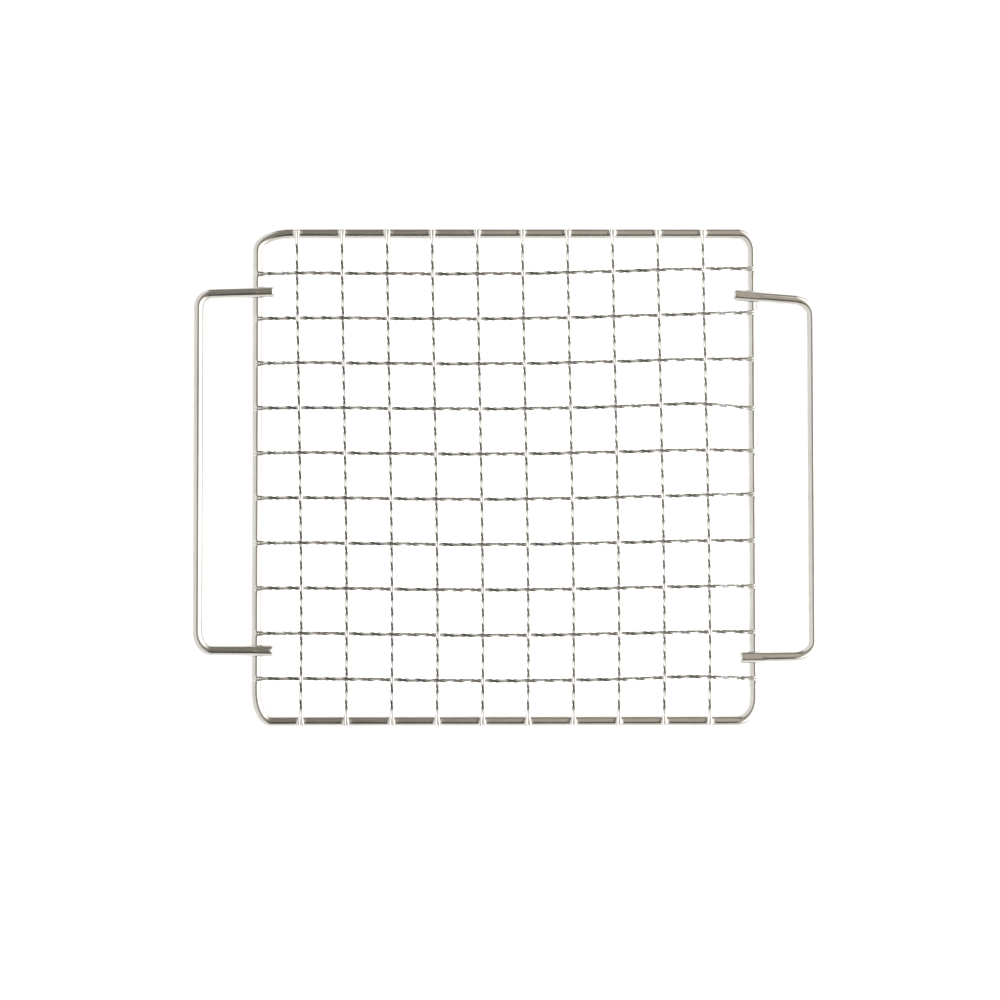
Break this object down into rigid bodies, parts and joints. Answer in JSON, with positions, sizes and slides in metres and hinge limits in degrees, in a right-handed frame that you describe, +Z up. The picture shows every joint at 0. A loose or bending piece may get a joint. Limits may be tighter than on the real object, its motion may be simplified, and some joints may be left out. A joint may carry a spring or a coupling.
{
  "type": "hibachi grill net",
  "caption": "Square woven-wire grilling net: twisted wire pairs welded on a round rod frame, with a bow handle on each side.",
  "frame": {"origin": "under the middle of the net, on the surface that the frame ring lies on", "axes": "+X from the left handle to the right handle, +Y from the front rod to the back rod, along the warp wires, +Z up, from the ring to the net and the handles' legs on top of it"},
  "size_m": [0.221, 0.177, 0.0081],
  "materials": {
    "rod_steel": "drawn round stainless rod, bright, with faint lengthwise draw marks and straw heat tint at the welds",
    "wire_steel": "fine stainless strand, twisted in pairs, bright, straw tint at some welded ends"
  },
  "bodies": {
    "root": {"frame_ring": "rod_steel", "handle_left": "rod_steel", "handle_right": "rod_steel", "warp_01_strand_a": "wire_steel", "warp_01_strand_b": "wire_steel", "warp_02_strand_a": "wire_steel", "warp_02_strand_b": "wire_steel", "warp_03_strand_a": "wire_steel", "warp_03_strand_b": "wire_steel", "warp_04_strand_a": "wire_steel", "warp_04_strand_b": "wire_steel", "warp_05_strand_a": "wire_steel", "warp_05_strand_b": "wire_steel", "warp_06_strand_a": "wire_steel", "warp_06_strand_b": "wire_steel", "warp_07_strand_a": "wire_steel", "warp_07_strand_b": "wire_steel", "warp_08_strand_a": "wire_steel", "warp_08_strand_b": "wire_steel", "warp_09_strand_a": "wire_steel", "warp_09_strand_b": "wire_steel", "warp_10_strand_a": "wire_steel", "warp_10_strand_b": "wire_steel", "weft_01_strand_a": "wire_steel", "weft_01_strand_b": "wire_steel", "weft_02_strand_a": "wire_steel", "weft_02_strand_b": "wire_steel", "weft_03_strand_a": "wire_steel", "weft_03_strand_b": "wire_steel", "weft_04_strand_a": "wire_steel", "weft_04_strand_b": "wire_steel", "weft_05_strand_a": "wire_steel", "weft_05_strand_b": "wire_steel", "weft_06_strand_a": "wire_steel", "weft_06_strand_b": "wire_steel", "weft_07_strand_a": "wire_steel", "weft_07_strand_b": "wire_steel", "weft_08_strand_a": "wire_steel", "weft_08_strand_b": "wire_steel", "weft_09_strand_a": "wire_steel", "weft_09_strand_b": "wire_steel", "weft_10_strand_a": "wire_steel", "weft_10_strand_b": "wire_steel"}
  },
  "joints": []
}
